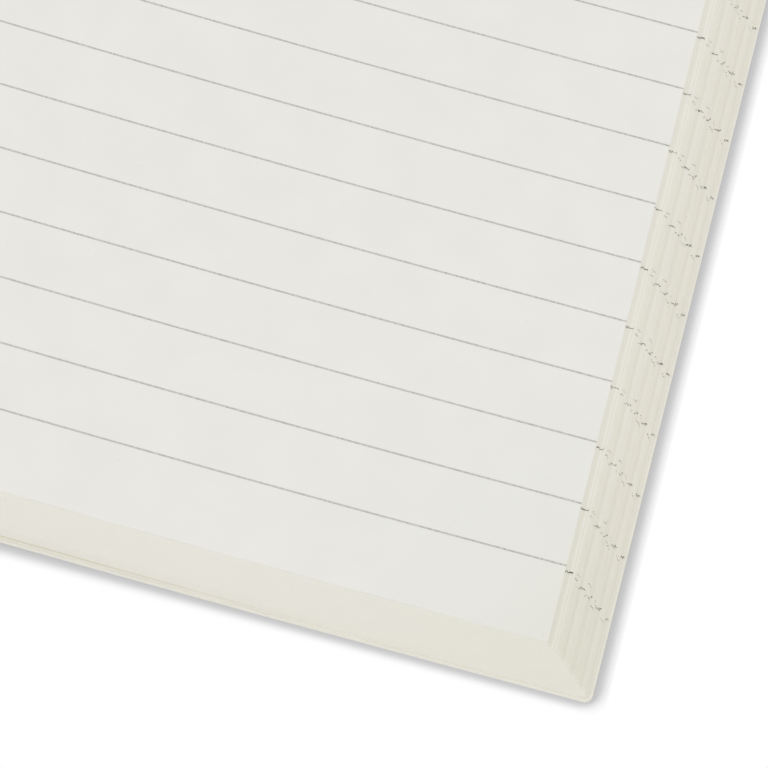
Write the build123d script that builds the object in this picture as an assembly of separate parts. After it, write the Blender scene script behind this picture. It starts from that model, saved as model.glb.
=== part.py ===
from build123d import *
import os
from math import cos, radians, sin, tan

# A sewn soft-cover notebook lying open at its first page, in millimetres.
# X runs across the spread to the fore-edge, Y up the page and Z up from the table.

# Leaves
page_width = 148.0
page_height = 210.0
leaf_count = 100
leaf_thickness = 0.098
signature_count = 5
fore_edge_crown = 0.1

# The first leaves stand back from the rest of the fore-edge in two loose clumps
first_clump_leaves = 11
first_clump_setback = 0.34
second_clump_leaves = 2
second_clump_setback = 0.17

# How the open block lies: level at the fore-edge, then lifted, then down to the spine
flat_run = 15.0
lift_radius = 1160.0
lift_angle = 4.0
spine_lean = 30.3
spine_rise = 1.4

# Scored card cover
cover_thickness = 0.55
cover_gap = 0.05
cover_ease = 0.4
front_ease = 0.3
fore_edge_overhang = 0.3
end_overhang = 0.1
corner_radius = 0.8
hinge_clearance = 0.05

# Backs of the folds, their sewing and their lining
fold_bulge = 0.35
thread_diameter = 0.3
thread_clearance = 0.03
station_count = 6
station_inset = 18.0
lining_thickness = 0.25
lining_inset = 10.0

# Values worked out from the sizes above
stack = leaf_count * leaf_thickness
signature = stack / signature_count
lift = radians(lift_angle)
lean = radians(spine_lean)
level_z = cover_thickness + cover_gap
spine_depth = fold_bulge + lining_thickness + cover_thickness / 2
cover_height = page_height + 2 * end_overhang

# The hump beside the spine has the radius that brings the last leaf down to spine_rise
past_lift = page_width - flat_run - lift_radius * lift
hump_drop = lift_radius * (1 - cos(lift)) + past_lift * sin(lift) - spine_rise
hump_radius = hump_drop / (cos(lift) - cos(lean) + (lift + lean) * sin(lift))
slope_run = past_lift - hump_radius * (lift + lean)

# Directions in the section: along the lifted sheets, up through them, and out of the spine
along_slope = Vector(-cos(lift), sin(lift))
up_slope = Vector(sin(lift), cos(lift))
up_spine = Vector(-sin(lean), cos(lean))
out_of_spine = Vector(-cos(lean), -sin(lean))

# Corner points of the last leaf's underside, with the foot of the fore-edge at X = 0
lift_reach = lift_radius * tan(lift / 2)
lift_corner = Vector(-flat_run - lift_reach, level_z)
slope_end = lift_corner + along_slope * (lift_reach + slope_run)
hump_centre = slope_end - up_slope * hump_radius
spine_foot = hump_centre + up_spine * hump_radius

# Creases of the cover, in the middle of the card, and the curve that lays the front cover down
back_crease = spine_foot - up_spine * (cover_ease + cover_thickness / 2) + out_of_spine * spine_depth
front_crease = (
    spine_foot
    + up_spine * (stack + front_ease + cover_thickness / 2)
    + out_of_spine * spine_depth
)
front_root = front_crease + out_of_spine * spine_depth
front_radius = (front_root.Y - cover_thickness / 2) / (1 - cos(lean))
front_centre = front_root + up_spine * front_radius
front_flat_run = page_width + fore_edge_overhang - front_radius * lean
front_edge_x = front_centre.X - front_flat_run
middle_x = (fore_edge_overhang + front_edge_x) / 2


def sheet_edges(fore_edge_x, level, sloped):
    """One face of a sheet from its fore-edge to the spine, at heights above the last leaf's underside."""
    radius = lift_radius - level
    reach = radius * tan(lift / 2)
    to_corner = (level - sloped * cos(lift)) / sin(lift)
    corner = lift_corner + up_slope * sloped + along_slope * to_corner
    lift_start = corner + Vector(reach, 0)
    lift_end = corner + along_slope * reach
    lift_middle = lift_start + Vector(-radius * sin(lift / 2), radius * (1 - cos(lift / 2)))
    hump_start = slope_end + up_slope * sloped
    hump_middle = hump_centre + (up_slope + up_spine).normalized() * (hump_radius + sloped)
    hump_end = spine_foot + up_spine * sloped
    return [
        Line(Vector(fore_edge_x, level_z + level), lift_start),
        ThreePointArc(lift_start, lift_middle, lift_end),
        Line(lift_end, hump_start),
        ThreePointArc(hump_start, hump_middle, hump_end),
    ]


def prism(edges, height):
    """A closed outline of the section, carried along the page and centred on it."""
    return extrude(Plane.XZ * make_face(edges), height / 2, both=True)


def fore_edge_point(leaves, setback):
    """Point of the slanted fore-edge on top of a number of leaves, counted from the last one."""
    level = leaves * leaf_thickness
    return Vector(-level * lean - setback, level_z + level)


def fore_edges():
    """Cut edges of the leaves: crowned runs that part at each signature's middle, then the two clumps."""
    leaves_each = leaf_count / signature_count
    first_clump = leaf_count - first_clump_leaves
    second_clump = first_clump - second_clump_leaves
    middles = [(number + 0.5) * leaves_each for number in range(signature_count - 1)]
    runs = []
    for low, high in zip([0] + middles, middles + [second_clump]):
        start = fore_edge_point(low, 0)
        end = fore_edge_point(high, 0)
        run = end - start
        out_of_edge = Vector(run.Y, -run.X).normalized()
        crown = fore_edge_crown * (high - low) / leaves_each
        runs.append(ThreePointArc(start, (start + end) / 2 + out_of_edge * crown, end))
    second = second_clump_setback
    first = second + first_clump_setback
    steps = Polyline(
        fore_edge_point(second_clump, 0),
        fore_edge_point(second_clump, 0) - Vector(second, 0),
        fore_edge_point(first_clump, second),
        fore_edge_point(first_clump, second) - Vector(first_clump_setback, 0),
        fore_edge_point(leaf_count, first),
    )
    return runs + [steps]


def make_page_block():
    """All the leaves: equal sheets on parallel curves, which slants the fore-edge, with rounded fold backs."""
    underside = sheet_edges(0, 0, 0)
    first_page = sheet_edges(fore_edges()[-1].position_at(1).X, stack, stack)
    folds = []
    for fold in range(signature_count):
        start = spine_foot + up_spine * (fold * signature)
        end = start + up_spine * signature
        middle = (start + end) / 2 + out_of_spine * fold_bulge
        folds.append(ThreePointArc(start, middle, end))
    block = prism(underside + folds + first_page + fore_edges(), page_height)
    return block - [kerf(y) for y in station_places()]


def station_places():
    """Places along the spine where the signatures are sewn to each other."""
    first = -page_height / 2 + station_inset
    spacing = (page_height - 2 * station_inset) / (station_count - 1)
    return [first + station * spacing for station in range(station_count)]


def thread_plane(y):
    """Plane on a thread's middle, with X up the spine and Z out of it."""
    depth = fold_bulge - thread_diameter / 2 - thread_clearance
    middle = spine_foot + up_spine * (stack / 2) + out_of_spine * depth
    return Plane(
        origin=(middle.X, y, middle.Y),
        x_dir=(up_spine.X, 0, up_spine.Y),
        z_dir=(out_of_spine.X, 0, out_of_spine.Y),
    )


def kerf(y):
    """Saw cut across the folds that a thread lies in, round at the bottom and open at the back."""
    width = thread_diameter + 2 * thread_clearance
    length = stack - signature + 2 * thread_clearance
    bottom = Cylinder(width / 2, length, rotation=(0, 90, 0))
    mouth = Box(length, width, fold_bulge, align=(Align.CENTER, Align.CENTER, Align.MIN))
    return thread_plane(y) * (bottom + mouth)


def make_sewing_thread():
    """One thread per station, linking the first fold to the last."""
    links = []
    for y in station_places():
        links.append(thread_plane(y) * Cylinder(thread_diameter / 2, stack - signature, rotation=(0, 90, 0)))
    return Compound(children=links)


def make_spine_lining():
    """Cloth strip glued over the backs of the folds."""
    inner = spine_foot + out_of_spine * fold_bulge
    outer = inner + out_of_spine * lining_thickness
    outline = Polyline(inner, inner + up_spine * stack, outer + up_spine * stack, outer, close=True)
    return prism(outline, page_height - 2 * lining_inset)


def make_spine_panel():
    """Card strip between the two creases."""
    half = out_of_spine * (cover_thickness / 2)
    margin = up_spine * (cover_thickness / 2 + hinge_clearance)
    foot = back_crease + margin
    head = front_crease - margin
    outline = Polyline(foot - half, head - half, head + half, foot + half, close=True)
    return prism(outline, cover_height)


def make_back_cover():
    """Card under the block: level at the fore-edge, arched with the leaves, rounded at its crease."""
    half = up_spine * (cover_thickness / 2)
    inside = sheet_edges(fore_edge_overhang, -cover_gap, -cover_ease)
    outside = sheet_edges(
        fore_edge_overhang, -cover_gap - cover_thickness, -cover_ease - cover_thickness
    )
    crease = ThreePointArc(
        back_crease + half, back_crease + out_of_spine * (cover_thickness / 2), back_crease - half
    )
    root = [
        Line(inside[-1] @ 1, back_crease + half),
        crease,
        Line(back_crease - half, outside[-1] @ 1),
    ]
    edge = Line(inside[0] @ 0, outside[0] @ 0)
    card = prism(inside + root + outside + [edge], cover_height)
    corners = card.edges().filter_by(Axis.Z).group_by(Axis.X)[-1]
    return fillet(corners, corner_radius)


def front_cover_edges(side):
    """One face of the front cover from its crease to its outer edge, on the side given as +1 or -1."""
    shift = side * cover_thickness / 2
    radius = front_radius - shift
    root = front_root + up_spine * shift
    halfway = (up_spine + Vector(0, 1)).normalized()
    laid = front_centre - Vector(0, radius)
    return [
        Line(front_crease + up_spine * shift, root),
        ThreePointArc(root, front_centre - halfway * radius, laid),
        Line(laid, Vector(front_edge_x, laid.Y)),
    ]


def make_front_cover():
    """Card turned over to the left: rounded at its crease, curved down from the spine and laid flat."""
    half = up_spine * (cover_thickness / 2)
    inside = front_cover_edges(1)
    outside = front_cover_edges(-1)
    crease = ThreePointArc(
        front_crease + half, front_crease - out_of_spine * (cover_thickness / 2), front_crease - half
    )
    edge = Line(inside[-1] @ 1, outside[-1] @ 1)
    card = prism(inside + outside + [crease, edge], cover_height)
    corners = card.edges().filter_by(Axis.Z).group_by(Axis.X)[0]
    return fillet(corners, corner_radius)


pieces = {
    "page_block": make_page_block(),
    "back_cover": make_back_cover(),
    "front_cover": make_front_cover(),
    "spine_panel": make_spine_panel(),
    "spine_lining": make_spine_lining(),
    "sewing_thread": make_sewing_thread(),
}

os.makedirs("parts", exist_ok=True)
for node, piece in pieces.items():
    export_step(Pos(-middle_x, 0, 0) * piece, f"parts/{node}.step")

print("hump radius", round(hump_radius, 2), "slope run", round(slope_run, 2))
print("front cover radius", round(front_radius, 2), "middle of the spread at", round(middle_x, 3))
for name, crease in (("back crease", back_crease), ("front crease", front_crease)):
    print(name, round(crease.X - middle_x, 4), round(crease.Y, 4))
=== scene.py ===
import math
import random

import bmesh
import bpy
from bpy.props import FloatProperty, FloatVectorProperty, IntProperty, PointerProperty
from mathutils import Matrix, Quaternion, Vector


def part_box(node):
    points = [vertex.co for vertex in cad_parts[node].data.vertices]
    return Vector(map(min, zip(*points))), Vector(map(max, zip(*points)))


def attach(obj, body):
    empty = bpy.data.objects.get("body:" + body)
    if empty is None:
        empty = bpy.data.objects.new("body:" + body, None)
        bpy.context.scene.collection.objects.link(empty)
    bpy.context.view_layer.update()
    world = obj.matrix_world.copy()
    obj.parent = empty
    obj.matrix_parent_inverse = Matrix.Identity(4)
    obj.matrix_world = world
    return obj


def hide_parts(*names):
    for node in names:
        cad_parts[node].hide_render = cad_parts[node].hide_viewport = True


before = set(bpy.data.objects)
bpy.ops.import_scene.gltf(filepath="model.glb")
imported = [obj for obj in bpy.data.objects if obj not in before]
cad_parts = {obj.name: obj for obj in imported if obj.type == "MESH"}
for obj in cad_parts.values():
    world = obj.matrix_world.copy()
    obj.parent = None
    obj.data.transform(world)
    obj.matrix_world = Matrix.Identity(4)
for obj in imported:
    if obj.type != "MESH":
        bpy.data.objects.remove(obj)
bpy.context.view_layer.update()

bl_info = {
    "name": "Open ruled notebook",
    "version": (1, 0, 0),
    "blender": (4, 5, 0),
    "location": "View3D > Sidebar > Notebook",
    "description": "Leaves, ruling, card cover and stage of a sewn notebook lying open at its first page",
    "category": "Add Mesh",
}

# Cells of a sheet, from its fold to its fore-edge: in the fold, over the hump, on the slope,
# along the lift, on the level run and in the rounded corner
FOLD_CELLS = 1
HUMP_CELLS = 10
SLOPE_CELLS = 2
LIFT_CELLS = 7
LEVEL_CELLS = 2
CORNER_CELLS = 1
LEVEL_START = FOLD_CELLS + HUMP_CELLS + SLOPE_CELLS + LIFT_CELLS
CORNER_START = LEVEL_START + LEVEL_CELLS
SHEET_CELLS = CORNER_START + CORNER_CELLS

# Rows of a sheet from tail to head, and how much finer the printed page and its rules are divided
STACK_ROWS = 3
PAGE_ROWS = 24
PAGE_FINER = 3

# Turn of a rounded corner up to its middle, where a sheet's outer row meets its fore-edge
HALF_CORNER = math.pi / 4

# Share of a leaf's place in the stack that its paper fills, and the bend that makes an edge sharp
PAPER_FILL = 0.97
SHARP_BEND = math.radians(20)

# Leaves at which the cut edge of the block parts into crowned runs, counted from the last one
RUN_STARTS = (0, 5, 21, 44, 68)

# Leaves whose edges lie in the shade where the last run parts from the block
PARTED_LEAVES = (4, 5, 6)

# How the leaves were knocked up: fewest and most leaves that moved together, and what share of the scatter
# each leaf adds on its own
EDGE_SEED = 7
CLUMP_LEAVES = (2, 6)
LEAF_SCATTER = 0.25

# Tones of the cut edges, from 0 for dark to 1 for light: a plain one, those of a clump and what a leaf
# in it adds; painted light and shade up a run; a painted highlight on a ledge and painted shade below it
PLAIN_TONE = 0.5
CLUMP_TONES = (0.45, 0.55)
LEAF_TONES = (-0.04, 0.04)
RUN_PAINTED_LIGHT = 0.08
LEDGE_PAINTED_HIGHLIGHT = 0.75
BELOW_LEDGE_PAINTED_SHADE = 0.3

# Shares of the cut edges' colour: in the darkest leaf, in the lightest one, and the further shade of the
# parted leaves, which comes in below a tone
DARK_LEAF = (0.93, 0.925, 0.87)
LIGHT_LEAF = (1.07, 1.075, 1.13)
PARTED_SHADE = (0.90, 0.89, 0.82)
PARTED_TONE = 0.3

WHITE = (1, 1, 1)

# Runs of leaves whose rules end at the fore-edge: first leaf from the top, leaves in the run, offset of
# its print from the first page's rules and drift per leaf in millimetres, and its share of the full width
PRINT_RUNS = (
    (1, 12, -0.52, 0.052, 0.8),
    (14, 6, -0.36, 0.015, 0.35),
    (16, 7, 0.28, 0.020, 0.25),
    (22, 5, -0.88, 0.050, 0.35),
    (28, 5, -0.48, 0.050, 1.0),
    (33, 5, -0.24, 0.035, 0.6),
    (38, 5, -0.62, 0.060, 0.3),
    (40, 7, 0.85, 0.020, 0.3),
    (46, 6, -0.38, 0.045, 0.7),
    (52, 5, 0.10, 0.060, 0.9),
    (58, 7, -0.40, -0.050, 0.35),
    (61, 4, 0.34, 0.000, 0.3),
    (66, 5, -0.14, 0.050, 0.8),
    (72, 9, 0.16, 0.055, 1.1),
    (82, 6, -0.30, -0.050, 0.35),
    (90, 10, 0.17, 0.050, 0.9),
)
MM_PER_METRE = 1000

# A rule's end on a leaf: its least and its greatest share of the run's width and, in leaf thicknesses,
# the narrowest strip of the leaf that it shows on and how far it runs down the cut edge
MARK_SEED = 11
MARK_SHARES = (0.1, 1.0)
MARK_STRIP = 0.25
MARK_DROP = 0.8

# The floor, and its shade: the way that it is gathered from, tilted to the light, how quickly it falls off,
# and where it is full and where it is gone, beside the object and under it
FLOOR_HALF = 4.0
SHADE_TILT = (-0.37, -0.26, 1.0)
SHADE_SAMPLES = 12
SHADE_FALL = 8.0
BESIDE_SHADE = (0.05, 0.71)
UNDER_SHADE = (0.0, 0.5)

# Width of the picture in the camera, in millimetres
SENSOR_WIDTH = 36.0

# Places of the colour sockets on a Mix node, where several sockets have the same name
MIX_FIRST, MIX_SECOND, MIX_RESULT = 6, 7, 2


def length(name, description, default):
    """A size in metres."""
    return FloatProperty(name=name, description=description, default=default, unit="LENGTH", precision=6)


def angle(name, description, degrees):
    """A turn, given in degrees and kept in radians."""
    return FloatProperty(name=name, description=description, default=math.radians(degrees), subtype="ANGLE")


def count(name, description, default):
    """A number of things."""
    return IntProperty(name=name, description=description, default=default)


def colour(name, description, default):
    """A surface colour."""
    return FloatVectorProperty(
        name=name, description=description, default=default, subtype="COLOR", size=3, min=0.0, max=1.0
    )


def spot(name, description, default):
    """A place in the frame, in metres."""
    return FloatVectorProperty(
        name=name, description=description, default=default, subtype="TRANSLATION", unit="LENGTH", size=3
    )


class NotebookLeaves(bpy.types.PropertyGroup):
    """Sizes of the leaves, and how the open block lies."""

    page_width: length("Page width", "From the fold to the fore-edge", 0.148)
    page_height: length("Page height", "From tail to head", 0.21)
    leaf_count: count("Leaves", "Leaves in the block", 100)
    signature_leaves: count("Signature", "Leaves in one sewn signature", 20)
    leaf_thickness: length("Leaf thickness", "Paper and the air in it", 0.0000983)
    underside: length("Underside", "Height of the last leaf above the table", 0.00056)
    cover_overhang: length("Cover overhang", "Cover beyond the foot of the fore-edge", 0.0003)
    level_run: length("Level run", "Stretch that lies level at the fore-edge", 0.015)
    lift_radius: length("Lift radius", "Radius of the curve that lifts the leaves", 1.16)
    lift_angle: angle("Lift", "Slope of the leaves before the hump", 4.0)
    spine_lean: angle("Spine lean", "How far the spine leans over", 30.3)
    spine_rise: length("Spine rise", "Height of the spine's foot above the level run", 0.0014)
    settle: length("Settle", "How far the last leaves sink to the cover past the level run", 0.0003)
    fold_bulge: length("Fold bulge", "How far the folds round out at the back", 0.00035)
    corner: length("Corner", "Rounding of the leaves' corners", 0.00025)
    last_corner: length("Last corner", "Rounding of the last leaf's corners, cut with the cover", 0.0007)
    edge_crown: length("Edge crown", "Rounding of a run of the fore-edge as thick as a signature", 0.00013)
    first_clump: count("First clump", "Loose leaves on top", 11)
    first_setback: length("First setback", "Step under the loose leaves on top", 0.00029)
    first_square: length("First square", "How much less the loose leaves on top slant", 0.00014)
    second_clump: count("Second clump", "Loose leaves below them", 2)
    second_setback: length("Second setback", "Step under the second clump", 0.00017)
    fan: FloatProperty(
        name="Fan", description="Growth of the slant per metre towards the head", default=1.421
    )
    edge_scatter: length("Edge scatter", "How unevenly clumps of leaves are knocked up", 0.000025)


class NotebookRuling(bpy.types.PropertyGroup):
    """The printed rules, and their ends on the fore-edge."""

    pitch: length("Pitch", "From rule to rule", 0.0071)
    lowest: length("Lowest rule", "Height of the lowest rule above the tail", 0.008555)
    rules: count("Rules", "Rules on a page", 27)
    width: length("Rule width", "Width of a printed rule", 0.000198)
    film: length("Ink film", "Height of the ink over the paper", 0.000006)
    mark_width: length("Mark width", "Full width of a rule's end on the fore-edge", 0.0002)
    mark_scatter: length("Mark scatter", "How unevenly the ends of the rules lie", 0.00007)
    mark_drift: FloatProperty(
        name="Mark drift", description="Growth of the print's offset per leaf and metre up the page",
        default=0.000167,
    )
    drift_start: length("Drift start", "Height at which the print's offset is that of its run", 0.0157)
    drift_reach: length("Drift reach", "Height up to which the print's offset grows", 0.08)


class NotebookFinish(bpy.types.PropertyGroup):
    """Colours of the papers, the card, the cloth, the thread and the ink."""

    page: colour("Page", "First page", (0.833, 0.825, 0.785))
    edge: colour("Cut edges", "Edges of the leaves", (0.842, 0.825, 0.750))
    # Painted shade that makes the papers a little darker and creamier round the lower corner of the block
    corner_shade: colour("Corner shade", "Tint of the lower corner, where the leaves are turned", (0.945, 0.955, 0.92))
    corner_shade_reach: length("Thumbed reach", "How far that tint spreads", 0.04)
    card: colour("Card", "Cover", (0.829, 0.808, 0.733))
    cloth: colour("Lining", "Cloth on the folds", (0.78, 0.74, 0.65))
    thread: colour("Thread", "Sewing thread", (0.85, 0.83, 0.77))
    ink: colour("Ink", "Printed rules", (0.528, 0.511, 0.472))
    mark: colour("Mark", "Ends of the rules on the fore-edge", (0.120, 0.110, 0.088))


class NotebookStage(bpy.types.PropertyGroup):
    """Light, floor and camera."""

    target: spot("Target", "Point on the page that the camera looks at", (0.122612, -0.082128, 0.0104))
    distance: length("Distance", "From the camera to the target", 0.567683)
    azimuth: angle("Azimuth", "Turn of the view from the page's up direction", -2.1208)
    elevation: angle("Elevation", "How steeply the camera looks down", 60.7087)
    roll: angle("Roll", "Turn of the picture", 13.1229)
    lens: FloatProperty(name="Lens", description="Focal length", default=269.788, subtype="DISTANCE_CAMERA")
    ambient: FloatProperty(name="Ambient", description="Light from all round", default=0.85)
    key: FloatProperty(name="Key", description="Power of the soft lamp", default=10.4, subtype="POWER")
    lamp_size: length("Lamp size", "Side of the soft lamp", 1.8)
    lamp_place: spot("Lamp place", "Middle of the soft lamp", (0.12, -1.5, 1.96))
    lamp_aim: spot("Lamp aim", "Point that the soft lamp faces", (0.12, -0.06, 0.0))
    floor: colour("Floor", "Floor, for the light that it throws back", (0.90, 0.90, 0.90))
    contact: colour("Contact shade", "Floor right beside the object", (0.56, 0.56, 0.565))
    shade_reach: length("Shade reach", "How far the contact shade spreads over the floor", 0.0016)
    under_reach: length("Under reach", "How high the object may arch and still shade the floor", 0.03)


class BlockSection:
    """The open block's section: where a sheet runs from its fold to its fore-edge."""

    def __init__(self, leaves):
        lift, lean = leaves.lift_angle, leaves.spine_lean
        past_lift = leaves.page_width - leaves.level_run - leaves.lift_radius * lift
        drop = leaves.lift_radius * (1 - math.cos(lift)) + past_lift * math.sin(lift) - leaves.spine_rise
        self.leaves = leaves
        self.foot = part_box("back_cover")[1].x - leaves.cover_overhang
        self.stack = leaves.leaf_count * leaves.leaf_thickness
        self.hump_radius = drop / (math.cos(lift) - math.cos(lean) + (lift + lean) * math.sin(lift))
        self.slope_run = past_lift - self.hump_radius * (lift + lean)
        self.lift_centre = Vector((-leaves.level_run, leaves.underside + leaves.lift_radius))
        lift_end = self.lift_centre + self.downward(lift) * leaves.lift_radius
        self.along_slope = Vector((-math.cos(lift), math.sin(lift)))
        self.slope_end = lift_end + self.along_slope * self.slope_run
        self.hump_centre = self.slope_end - self.upward(-lift) * self.hump_radius
        self.out_of_spine = Vector((-math.cos(lean), -math.sin(lean)))
        self.first_clump = leaves.leaf_count - leaves.first_clump
        self.second_clump = self.first_clump - leaves.second_clump
        self.scatter, self.tones = self.knocked_up()

    @staticmethod
    def upward(turn):
        """Direction up from a sheet that is turned so far to the left."""
        return Vector((-math.sin(turn), math.cos(turn)))

    @staticmethod
    def downward(turn):
        """Direction down from a sheet that is turned so far to the right."""
        return Vector((-math.sin(turn), -math.cos(turn)))

    def knocked_up(self):
        """Scatter and tone of each leaf's cut edge, alike in leaves knocked up together; tones add painted
        light and shade.
        """
        chance = random.Random(EDGE_SEED)
        scatter = []
        tones = []
        while len(scatter) <= self.leaves.leaf_count:
            clump = chance.gauss(0, self.leaves.edge_scatter)
            clump_tone = chance.uniform(*CLUMP_TONES)
            for _ in range(chance.randint(*CLUMP_LEAVES)):
                scatter.append(clump + chance.gauss(0, self.leaves.edge_scatter * LEAF_SCATTER))
                leaf_tone = clump_tone + chance.uniform(*LEAF_TONES)
                # Painted light and shade: a leaf is lighter the higher it lies in its crowned run
                tones.append(leaf_tone + RUN_PAINTED_LIGHT * self.run(len(tones))[1])
        # Painted highlight on the bare top leaf of each clump, and painted shade on the leaf below it
        for bare in (self.second_clump - 1, self.first_clump - 1):
            tones[bare] = LEDGE_PAINTED_HIGHLIGHT
            tones[bare - 1] = BELOW_LEDGE_PAINTED_SHADE
        return scatter, tones

    def run(self, leaf):
        """Leaves of the crowned run that a leaf is in, and its place there from -1 at the foot to 1.

        The runs part near the middle of each signature and end below the loose leaves on top.
        """
        low = max(start for start in RUN_STARTS if start <= leaf)
        high = min([start for start in RUN_STARTS if start > leaf] + [self.second_clump])
        return high - low, min(1.0, 2 * (leaf + 0.5 - low) / (high - low) - 1)

    def setback(self, leaf):
        """How far a leaf stands back from the slant."""
        leaves = self.leaves
        if leaf >= self.first_clump:
            square = leaves.first_square * (leaf - self.first_clump) / leaves.first_clump
            return leaves.first_setback + leaves.second_setback - square
        if leaf >= self.second_clump:
            return leaves.second_setback
        run_leaves, place = self.run(leaf)
        return -leaves.edge_crown * run_leaves / leaves.signature_leaves * (1 - place * place)

    @staticmethod
    def past_level(cell):
        """How far a cell is along the lift: 0 at the level run, 1 at the slope."""
        return (LEVEL_START - cell) / LIFT_CELLS

    def settled(self, leaf, cell):
        """How far a leaf of the last signature sinks between the level run and the spine."""
        leaves = self.leaves
        low = max(0.0, 1 - leaf / leaves.signature_leaves)
        before_fold = (cell - FOLD_CELLS) / HUMP_CELLS
        return leaves.settle * low * min(1.0, max(0.0, min(self.past_level(cell), before_fold)))

    def edge_tone(self, leaf, cell):
        """Tone of a leaf's edges: its own with painted light and shade at the fore-edge, plain elsewhere but
        for parted leaves.
        """
        if round(cell, 1) == SHEET_CELLS:
            return self.tones[leaf]
        if leaf in PARTED_LEAVES:
            return PLAIN_TONE - min(PLAIN_TONE, max(0.0, self.past_level(cell)))
        return PLAIN_TONE

    def corner(self, leaf):
        """Rounding of a leaf's corners: small, and larger in the last leaves."""
        leaves = self.leaves
        low = max(0.0, 1 - 2 * leaf / leaves.signature_leaves)
        return leaves.corner + (leaves.last_corner - leaves.corner) * low

    def edge(self, leaf, y):
        """Fore-edge of a leaf, counted from the last one, back from the foot of the block."""
        leaves = self.leaves
        slant = (leaf + 0.5) * leaves.leaf_thickness * leaves.spine_lean + self.setback(leaf)
        growth = 1 + leaves.fan * (y + leaves.page_height / 2)
        return -slant * growth + self.scatter[leaf]

    def fold(self, leaf):
        """How far a leaf's fold rounds out at the back."""
        half = self.leaves.signature_leaves / 2
        place = (leaf % self.leaves.signature_leaves + 0.5 - half) / half
        return self.leaves.fold_bulge * (1 - place * place)

    def point(self, cell, y, height, edge, fold=0.0, corner=0.0):
        """A sheet's point, so many cells from its fold, at a height over the last leaf's underside."""
        leaves = self.leaves
        lift, lean = leaves.lift_angle, leaves.spine_lean
        over_hump = cell - FOLD_CELLS
        on_slope = over_hump - HUMP_CELLS
        on_lift = on_slope - SLOPE_CELLS
        on_level = on_lift - LIFT_CELLS
        in_corner = on_level - LEVEL_CELLS
        if over_hump < 0:
            spine = self.hump_centre + self.upward(lean) * (self.hump_radius + height)
            place = spine - self.out_of_spine * (fold * over_hump / FOLD_CELLS)
        elif on_slope < 0:
            turn = lean - (lean + lift) * over_hump / HUMP_CELLS
            place = self.hump_centre + self.upward(turn) * (self.hump_radius + height)
        elif on_lift < 0:
            start = self.slope_end + self.upward(-lift) * height
            place = start - self.along_slope * (self.slope_run * on_slope / SLOPE_CELLS)
        elif on_level < 0:
            turn = lift * (1 - on_lift / LIFT_CELLS)
            place = self.lift_centre + self.downward(turn) * (leaves.lift_radius - height)
        elif in_corner < 0:
            run = (edge - corner + leaves.level_run) * on_level / LEVEL_CELLS
            place = Vector((run - leaves.level_run, leaves.underside + height))
        else:
            place = Vector((edge - corner + corner * in_corner, leaves.underside + height))
        return Vector((self.foot + place.x, y, place.y))


def flat_sheet(finer, rows):
    """A flat closed sheet in cells and rows, one high, to be laid on the block."""
    bm = bmesh.new()
    bmesh.ops.create_grid(bm, x_segments=SHEET_CELLS * finer, y_segments=rows, size=0.5)
    bmesh.ops.scale(bm, vec=(SHEET_CELLS, rows, 1), verts=bm.verts)
    bmesh.ops.translate(bm, vec=(SHEET_CELLS / 2, rows / 2, 0), verts=bm.verts)
    raised = bmesh.ops.extrude_face_region(bm, geom=bm.faces[:])
    top = [item for item in raised["geom"] if isinstance(item, bmesh.types.BMVert)]
    bmesh.ops.translate(bm, vec=(0, 0, 1), verts=top)
    bmesh.ops.recalc_face_normals(bm, faces=bm.faces)
    sheet = bpy.data.meshes.new("flat_sheet")
    bm.to_mesh(sheet)
    bm.free()
    return sheet


def lay_leaf(bm, sheet, rows, section, leaf):
    """Lays one sheet in its place in the block; its outer rows are as high as its rounded corners."""
    leaves = section.leaves
    corner, half = section.corner(leaf), leaves.page_height / 2
    tone = bm.verts.layers.float.get("leaf_tone") or bm.verts.layers.float.new("leaf_tone")
    laid = len(bm.verts)
    bm.from_mesh(sheet)
    bm.verts.ensure_lookup_table()
    for vert in bm.verts[laid:]:
        cell, row, up = vert.co
        vert[tone] = section.edge_tone(leaf, cell)
        row = round(row)
        y = (half - corner) * (2 * (row - 1) / (rows - 2) - 1)
        if row in (0, rows):
            turn = max(0.0, cell - CORNER_START) * HALF_CORNER
            cell = min(cell, CORNER_START + math.sin(turn))
            y = (half - corner + corner * math.cos(turn)) * (1 if row else -1)
        level = (leaf + up * PAPER_FILL) * leaves.leaf_thickness - section.settled(leaf, cell)
        vert.co = section.point(cell, y, level, section.edge(leaf, y), section.fold(leaf), corner)


def finished(name, bm, body, material):
    """Makes a piece of a bmesh: smooth where it bends, riding on its body, with its material."""
    mesh = bpy.data.meshes.new(name)
    bm.to_mesh(mesh)
    bm.free()
    mesh.shade_smooth()
    mesh.set_sharp_from_angle(angle=SHARP_BEND)
    mesh.materials.append(material)
    piece = bpy.data.objects.new(name, mesh)
    bpy.context.scene.collection.objects.link(piece)
    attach(piece, body)
    return piece


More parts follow.
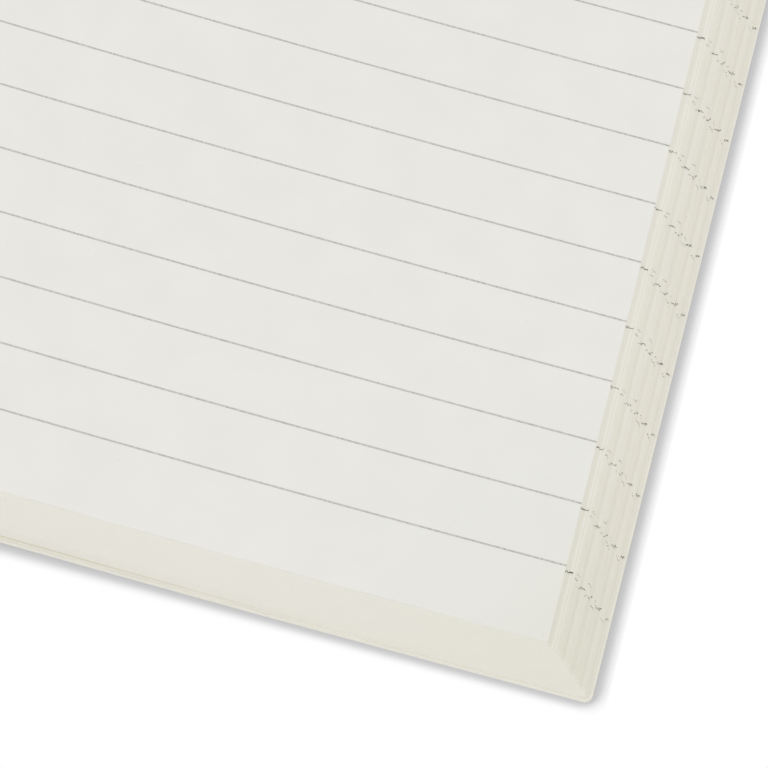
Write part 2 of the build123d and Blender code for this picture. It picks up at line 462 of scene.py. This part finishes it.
class Nodes:
    """The nodes of a material or a world, added and joined in a few words."""

    def __init__(self, owner, output="ShaderNodeOutputMaterial"):
        owner.use_nodes = True
        self.owner = owner
        self.tree = owner.node_tree
        self.tree.nodes.clear()
        self.output = self.add(output)

    def add(self, kind, inputs=None, **settings):
        """A node with its settings; an input is another node's socket or a value."""
        node = self.tree.nodes.new(kind)
        for name, value in settings.items():
            setattr(node, name, value)
        for name, value in (inputs or {}).items():
            if isinstance(value, bpy.types.NodeSocket):
                self.tree.links.new(value, node.inputs[name])
            else:
                node.inputs[name].default_value = value
        return node

    def place(self, scale=(1, 1, 1), shift=(0, 0, 0)):
        """Object coordinates stretched by a scale for each direction, then shifted."""
        coordinates = self.add("ShaderNodeTexCoord")
        return self.add(
            "ShaderNodeMapping",
            {"Vector": coordinates.outputs["Object"], "Scale": scale, "Location": shift},
        ).outputs["Vector"]

    def noise(self, scale, detail, stretch=(1, 1, 1)):
        """Cloudy noise, so many clouds to the metre."""
        return self.add(
            "ShaderNodeTexNoise", {"Vector": self.place(stretch), "Scale": scale, "Detail": detail}
        ).outputs["Fac"]

    def wave(self, scale, direction):
        """Soft bands that follow one another in a direction."""
        return self.add(
            "ShaderNodeTexWave", {"Vector": self.place(), "Scale": scale}, bands_direction=direction
        ).outputs["Fac"]

    def between(self, factor, low, high, first, last):
        """A colour that goes from first to last as a factor goes from low to high."""
        ramp = self.add("ShaderNodeValToRGB", {"Fac": factor})
        ramp.color_ramp.elements[0].position = low
        ramp.color_ramp.elements[0].color = (*first, 1)
        ramp.color_ramp.elements[1].position = high
        ramp.color_ramp.elements[1].color = (*last, 1)
        return ramp.outputs["Color"]

    def times(self, first, second):
        """Two colours multiplied."""
        return self.add(
            "ShaderNodeMix", {"Factor": 1.0, MIX_FIRST: first, MIX_SECOND: second},
            data_type="RGBA", blend_type="MULTIPLY",
        ).outputs[MIX_RESULT]

    def worked_out(self, operation, first, second):
        """A number worked out from two others."""
        return self.add("ShaderNodeMath", {0: first, 1: second}, operation=operation).outputs["Value"]

    def bump(self, height, strength, distance):
        """Relief that the light shows."""
        return self.add(
            "ShaderNodeBump", {"Height": height, "Strength": strength, "Distance": distance}
        ).outputs["Normal"]

    def surface(self, **inputs):
        """The finished surface, from the shader's inputs by name."""
        named = {name.replace("_", " "): value for name, value in inputs.items()}
        shader = self.add("ShaderNodeBsdfPrincipled", named)
        self.tree.links.new(shader.outputs["BSDF"], self.output.inputs["Surface"])
        return self.owner

    def backdrop(self, light, shown):
        """One shader that lights the object, and another that the camera, gloss and glass show."""
        path = self.add("ShaderNodeLightPath").outputs
        seen = self.worked_out("MAXIMUM", path["Is Camera Ray"], path["Is Glossy Ray"])
        seen = self.worked_out("MAXIMUM", seen, path["Is Transmission Ray"])
        mix = self.add("ShaderNodeMixShader", {0: seen, 1: light, 2: shown}).outputs["Shader"]
        self.tree.links.new(mix, self.output.inputs["Surface"])
        return self.owner


def material_nodes(name):
    """The nodes of a material, new or cleared."""
    return Nodes(bpy.data.materials.get(name) or bpy.data.materials.new(name))


def shade(colour, share):
    """A colour made lighter or darker by a share."""
    return tuple(min(1.0, part * share) for part in colour)


def tinted(colour, shares):
    """A colour with a share of each of its parts."""
    return tuple(min(1.0, part * share) for part, share in zip(colour, shares))


def corner_shaded(nodes, finish, tone):
    """A paper's colour with painted shade: a little darker and creamier round the lower corner."""
    low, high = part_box("page_block")
    corner = Vector((high.x, low.y, high.z))
    reach = finish.corner_shade_reach
    near = nodes.add(
        "ShaderNodeTexGradient", {"Vector": nodes.place((1 / reach,) * 3, -corner / reach)},
        gradient_type="QUADRATIC_SPHERE",
    ).outputs["Fac"]
    return nodes.times(tone, nodes.between(near, low=0.0, high=1.0, first=WHITE, last=finish.corner_shade))


def page_paper(finish):
    """Uncoated off-white paper: soft clouds of tone, short fibres and a few faint specks."""
    nodes = material_nodes("page_paper")
    clouds = nodes.between(
        nodes.noise(scale=180, detail=4), low=0.35, high=0.65,
        first=shade(finish.page, 0.988), last=shade(finish.page, 1.008),
    )
    specks = nodes.between(
        nodes.noise(scale=1500, detail=1), low=0.74, high=0.80, first=WHITE, last=(0.975, 0.972, 0.965)
    )
    fibres = nodes.noise(scale=2600, detail=5, stretch=(1, 0.35, 1))
    # The page gets painted shade round its lower corner
    return nodes.surface(
        Base_Color=nodes.times(corner_shaded(nodes, finish, clouds), specks),
        Roughness=0.92, Specular_IOR_Level=0.2,
        Normal=nodes.bump(fibres, strength=0.12, distance=0.00003),
    )


def edge_paper(finish):
    """Cut edges of the leaves: creamier than the page, each leaf lighter or darker at random and by painted
    light and shade.
    """
    nodes = material_nodes("edge_paper")
    leaf = nodes.add("ShaderNodeAttribute", attribute_name="leaf_tone").outputs["Fac"]
    dark, light = tinted(finish.edge, DARK_LEAF), tinted(finish.edge, LIGHT_LEAF)
    tones = nodes.times(
        nodes.between(leaf, low=0.0, high=1.0, first=dark, last=light),
        nodes.between(leaf, low=0.0, high=PARTED_TONE, first=PARTED_SHADE, last=WHITE),
    )
    clouds = nodes.between(
        nodes.noise(scale=350, detail=3), low=0.35, high=0.65, first=shade(WHITE, 0.992), last=WHITE
    )
    nap = nodes.noise(scale=5200, detail=2)
    # The cut edges get painted shade round the lower corner
    return nodes.surface(
        Base_Color=nodes.times(corner_shaded(nodes, finish, tones), clouds),
        Roughness=0.95, Specular_IOR_Level=0.15,
        Normal=nodes.bump(nap, strength=0.10, distance=0.00002),
    )


def cover_card(finish):
    """Uncoated cover card: cloudy pulp with scattered longer fibres."""
    nodes = material_nodes("cover_card")
    clouds = nodes.between(
        nodes.noise(scale=260, detail=5), low=0.3, high=0.7,
        first=shade(finish.card, 0.985), last=shade(finish.card, 1.01),
    )
    fibres = nodes.between(
        nodes.noise(scale=700, detail=4, stretch=(1, 0.22, 1)), low=0.62, high=0.78,
        first=WHITE, last=(0.965, 0.955, 0.93),
    )
    grain = nodes.noise(scale=1700, detail=6)
    return nodes.surface(
        Base_Color=nodes.times(clouds, fibres), Roughness=0.85, Specular_IOR_Level=0.3,
        Normal=nodes.bump(grain, strength=0.25, distance=0.00006),
    )


def lining_cloth(finish):
    """Open plain-weave cloth with glue between its threads."""
    nodes = material_nodes("lining_cloth")
    warp, weft = (nodes.wave(scale=500, direction=direction) for direction in "YZ")
    weave = nodes.worked_out("MAXIMUM", warp, weft)
    tone = nodes.between(weave, low=0.1, high=0.9, first=shade(finish.cloth, 0.72), last=finish.cloth)
    relief = nodes.bump(weave, strength=0.6, distance=0.0001)
    return nodes.surface(Base_Color=tone, Roughness=0.9, Normal=relief)


def linen_thread(finish):
    """Waxed linen thread with a slanting twist."""
    nodes = material_nodes("linen_thread")
    twist = nodes.wave(scale=900, direction="DIAGONAL")
    tone = nodes.between(twist, low=0.2, high=0.8, first=shade(finish.thread, 0.8), last=finish.thread)
    relief = nodes.bump(twist, strength=0.5, distance=0.00005)
    return nodes.surface(Base_Color=tone, Roughness=0.7, Normal=relief)


def printed_ink(name, tone):
    """Grey offset ink on uncoated paper, a little broken by the fibres."""
    nodes = material_nodes(name)
    broken = nodes.between(
        nodes.noise(scale=4200, detail=2), low=0.35, high=0.65,
        first=shade(tone, 0.92), last=shade(tone, 1.22),
    )
    return nodes.surface(Base_Color=broken, Roughness=0.9, Specular_IOR_Level=0.15)


class NOTEBOOK_OT_leaves(bpy.types.Operator):
    """Lay the leaves of the block one on another"""

    bl_idname = "notebook.leaves"
    bl_label = "Lay Leaves"

    def execute(self, context):
        section = BlockSection(context.scene.notebook_leaves)
        finish = context.scene.notebook_finish
        sheet = flat_sheet(1, STACK_ROWS)
        bm = bmesh.new()
        for leaf in range(section.leaves.leaf_count - 1):
            lay_leaf(bm, sheet, STACK_ROWS, section, leaf)
        block = finished("leaf_stack", bm, "book_block", edge_paper(finish))
        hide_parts("page_block")
        bpy.data.meshes.remove(sheet)
        return {"FINISHED"}


class NOTEBOOK_OT_first_leaf(bpy.types.Operator):
    """Lay the first leaf, the page that the notebook is open at"""

    bl_idname = "notebook.first_leaf"
    bl_label = "Lay First Leaf"

    def execute(self, context):
        section = BlockSection(context.scene.notebook_leaves)
        finish = context.scene.notebook_finish
        sheet = flat_sheet(PAGE_FINER, PAGE_ROWS)
        bm = bmesh.new()
        lay_leaf(bm, sheet, PAGE_ROWS, section, section.leaves.leaf_count - 1)
        finished("first_leaf", bm, "book_block", page_paper(finish))
        bpy.data.meshes.remove(sheet)
        return {"FINISHED"}


class NOTEBOOK_OT_rules(bpy.types.Operator):
    """Print the rules on the first page, out to its fore-edge"""

    bl_idname = "notebook.rules"
    bl_label = "Print Rules"

    def execute(self, context):
        section = BlockSection(context.scene.notebook_leaves)
        ruling = context.scene.notebook_ruling
        first = section.leaves.leaf_count - 1
        tail = -section.leaves.page_height / 2
        height = section.stack + ruling.film
        cells = SHEET_CELLS - FOLD_CELLS
        bm = bmesh.new()
        for rule in range(ruling.rules):
            middle = tail + ruling.lowest + rule * ruling.pitch
            strip = bmesh.ops.create_grid(bm, x_segments=cells * PAGE_FINER, y_segments=1, size=0.5)
            bmesh.ops.scale(bm, vec=(cells, ruling.width, 1), verts=strip["verts"])
            bmesh.ops.translate(bm, vec=(FOLD_CELLS + cells / 2, middle, 0), verts=strip["verts"])
            for vert in strip["verts"]:
                cell, y = vert.co.xy
                edge = section.edge(first, y)
                vert.co = section.point(cell, y, height, edge, corner=section.corner(first))
        ink = printed_ink("rule_ink", context.scene.notebook_finish.ink)
        finished("page_rules", bm, "book_block", ink)
        return {"FINISHED"}


class NOTEBOOK_OT_edge_marks(bpy.types.Operator):
    """Mark where each leaf's rules run out over its fore-edge"""

    bl_idname = "notebook.edge_marks"
    bl_label = "Mark Fore-Edge"

    def execute(self, context):
        section = BlockSection(context.scene.notebook_leaves)
        ruling = context.scene.notebook_ruling
        comb = self.flat_comb(ruling.rules)
        chance = random.Random(MARK_SEED)
        bm = bmesh.new()
        for first, leaves, offset, drift, share in PRINT_RUNS:
            for place in range(leaves):
                marks = []
                for _ in range(ruling.rules):
                    shift = (offset + drift * place) / MM_PER_METRE + chance.gauss(0, ruling.mark_scatter)
                    marks.append((shift, ruling.mark_width * share * chance.uniform(*MARK_SHARES)))
                self.mark_leaf(bm, comb, section, ruling, first + place, marks)
        bpy.data.meshes.remove(comb)
        ink = printed_ink("mark_ink", context.scene.notebook_finish.mark)
        finished("edge_marks", bm, "book_block", ink)
        return {"FINISHED"}

    @staticmethod
    def flat_comb(rules):
        """Flat strips, one for each rule and two cells long, with gaps between them."""
        rows = 2 * rules - 1
        bm = bmesh.new()
        bmesh.ops.create_grid(bm, x_segments=2, y_segments=rows, size=0.5)
        bmesh.ops.scale(bm, vec=(2, rows, 1), verts=bm.verts)
        bmesh.ops.translate(bm, vec=(1, rows / 2, 0), verts=bm.verts)
        gaps = [face for face in bm.faces if int(face.calc_center_median().y) % 2]
        bmesh.ops.delete(bm, geom=gaps, context="FACES")
        comb = bpy.data.meshes.new("flat_comb")
        bm.to_mesh(comb)
        bm.free()
        return comb

    @staticmethod
    def mark_leaf(bm, comb, section, ruling, from_top, marks):
        """Films of ink on a leaf's bare strip and down over its cut edge."""
        leaves = section.leaves
        leaf = leaves.leaf_count - 1 - from_top
        top = leaves.underside + (leaf + PAPER_FILL) * leaves.leaf_thickness + ruling.film
        bottom = top - MARK_DROP * leaves.leaf_thickness
        laid = len(bm.verts)
        bm.from_mesh(comb)
        bm.verts.ensure_lookup_table()
        for vert in bm.verts[laid:]:
            column, row = round(vert.co.x), round(vert.co.y)
            shift, width = marks[row // 2]
            above_tail = ruling.lowest + row // 2 * ruling.pitch
            drifted = min(above_tail, ruling.drift_reach) - ruling.drift_start
            growth = ruling.mark_drift * from_top * drifted
            y = above_tail + shift + growth + (row % 2 - 0.5) * width - leaves.page_height / 2
            outer = section.edge(leaf, y)
            inner = min(section.edge(leaf + 1, y), outer - leaves.leaf_thickness * MARK_STRIP)
            x = section.foot + (inner, outer, outer + ruling.film)[column]
            vert.co = (x, y, (top, top, bottom)[column])


class NOTEBOOK_OT_covers(bpy.types.Operator):
    """Give the covers and the spine panel their card"""

    bl_idname = "notebook.covers"
    bl_label = "Finish Covers"

    def execute(self, context):
        card = cover_card(context.scene.notebook_finish)
        for node in ("back_cover", "front_cover", "spine_panel"):
            dress(node, card)
        return {"FINISHED"}


class NOTEBOOK_OT_binding(bpy.types.Operator):
    """Give the spine lining its cloth and the sewing its thread"""

    bl_idname = "notebook.binding"
    bl_label = "Finish Binding"

    def execute(self, context):
        finish = context.scene.notebook_finish
        dress("spine_lining", lining_cloth(finish))
        dress("sewing_thread", linen_thread(finish))
        return {"FINISHED"}


def dress(node, material):
    """Gives a solid of the frame its material."""
    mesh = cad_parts[node].data
    mesh.materials.clear()
    mesh.materials.append(material)


class NOTEBOOK_OT_stage(bpy.types.Operator):
    """Set up the floor, the light and the camera"""

    bl_idname = "notebook.stage"
    bl_label = "Set Stage"

    def execute(self, context):
        stage = context.scene.notebook_stage
        self.floor(context.scene, stage)
        self.world(context.scene, stage)
        self.lamp(context.scene, stage)
        self.camera(context.scene, stage)
        context.scene.view_settings.view_transform = "Standard"
        return {"FINISHED"}

    @staticmethod
    def floor(scene, stage):
        """White floor that throws light back and shows a soft shade beside and under the object."""
        bm = bmesh.new()
        bmesh.ops.create_grid(bm, x_segments=1, y_segments=1, size=FLOOR_HALF)
        mesh = bpy.data.meshes.new("floor")
        bm.to_mesh(mesh)
        bm.free()
        floor = bpy.data.objects.new("floor", mesh)
        scene.collection.objects.link(floor)
        nodes = material_nodes("white_floor")
        to_light = nodes.add("ShaderNodeCombineXYZ", dict(zip("XYZ", SHADE_TILT))).outputs["Vector"]
        beside, under = (
            nodes.add(
                "ShaderNodeAmbientOcclusion", {"Distance": reach, "Normal": to_light}, samples=SHADE_SAMPLES
            ).outputs["AO"]
            for reach in (stage.shade_reach, stage.under_reach)
        )
        beside = nodes.worked_out("POWER", beside, SHADE_FALL)
        tone = nodes.times(
            nodes.between(beside, *BESIDE_SHADE, first=stage.contact, last=WHITE),
            nodes.between(under, *UNDER_SHADE, first=stage.contact, last=WHITE),
        )
        shown = nodes.add("ShaderNodeEmission", {"Color": tone}).outputs["Emission"]
        bounce = nodes.add("ShaderNodeBsdfDiffuse", {"Color": (*stage.floor, 1)}).outputs["BSDF"]
        mesh.materials.append(nodes.backdrop(bounce, shown))

    @staticmethod
    def world(scene, stage):
        """Even light from all round, shown as plain white."""
        nodes = Nodes(bpy.data.worlds.new("studio"), "ShaderNodeOutputWorld")
        around = nodes.add("ShaderNodeBackground", {"Color": (*WHITE, 1), "Strength": stage.ambient})
        white = nodes.add("ShaderNodeBackground", {"Color": (*WHITE, 1)})
        scene.world = nodes.backdrop(around.outputs["Background"], white.outputs["Background"])

    @staticmethod
    def lamp(scene, stage):
        """Large soft lamp, high up beyond the tail."""
        data = bpy.data.lights.new("soft_lamp", "AREA")
        data.energy = stage.key
        data.size = stage.lamp_size
        lamp = bpy.data.objects.new("soft_lamp", data)
        lamp.location = stage.lamp_place
        facing = Vector(stage.lamp_aim) - Vector(stage.lamp_place)
        lamp.rotation_euler = facing.to_track_quat("-Z", "Y").to_euler()
        lamp.visible_camera = False
        scene.collection.objects.link(lamp)

    @staticmethod
    def camera(scene, stage):
        """Long lens that looks down on the lower corner of the page."""
        level = math.cos(stage.elevation)
        forward = Vector((
            level * math.sin(stage.azimuth), level * math.cos(stage.azimuth), -math.sin(stage.elevation)
        ))
        data = bpy.data.cameras.new("camera")
        data.lens = stage.lens
        data.sensor_width = SENSOR_WIDTH
        camera = bpy.data.objects.new("camera", data)
        camera.location = Vector(stage.target) - forward * stage.distance
        upright = forward.to_track_quat("-Z", "Y")
        camera.rotation_euler = (upright @ Quaternion((0, 0, 1), stage.roll)).to_euler()
        scene.collection.objects.link(camera)
        scene.camera = camera


class NOTEBOOK_PT_panel(bpy.types.Panel):
    """Steps and sizes of the notebook"""

    bl_idname = "NOTEBOOK_PT_panel"
    bl_label = "Notebook"
    bl_space_type = "VIEW_3D"
    bl_region_type = "UI"
    bl_category = "Notebook"

    def draw(self, context):
        for step in STEPS:
            self.layout.operator(step.bl_idname)
        for name in GROUPS:
            group = getattr(context.scene, name)
            box = self.layout.box()
            for key in group.__annotations__:
                box.prop(group, key)


GROUPS = {
    "notebook_leaves": NotebookLeaves,
    "notebook_ruling": NotebookRuling,
    "notebook_finish": NotebookFinish,
    "notebook_stage": NotebookStage,
}
STEPS = (
    NOTEBOOK_OT_leaves,
    NOTEBOOK_OT_first_leaf,
    NOTEBOOK_OT_rules,
    NOTEBOOK_OT_edge_marks,
    NOTEBOOK_OT_covers,
    NOTEBOOK_OT_binding,
    NOTEBOOK_OT_stage,
)


def register():
    for name, group in GROUPS.items():
        bpy.utils.register_class(group)
        setattr(bpy.types.Scene, name, PointerProperty(type=group))
    for step in STEPS:
        bpy.utils.register_class(step)
    bpy.utils.register_class(NOTEBOOK_PT_panel)


def unregister():
    bpy.utils.unregister_class(NOTEBOOK_PT_panel)
    for step in reversed(STEPS):
        bpy.utils.unregister_class(step)
    for name, group in GROUPS.items():
        delattr(bpy.types.Scene, name)
        bpy.utils.unregister_class(group)


def main():
    register()
    bpy.ops.notebook.leaves()
    bpy.ops.notebook.first_leaf()
    bpy.ops.notebook.rules()
    bpy.ops.notebook.edge_marks()
    bpy.ops.notebook.covers()
    bpy.ops.notebook.binding()
    bpy.ops.notebook.stage()


if __name__ == "__main__":
    main()
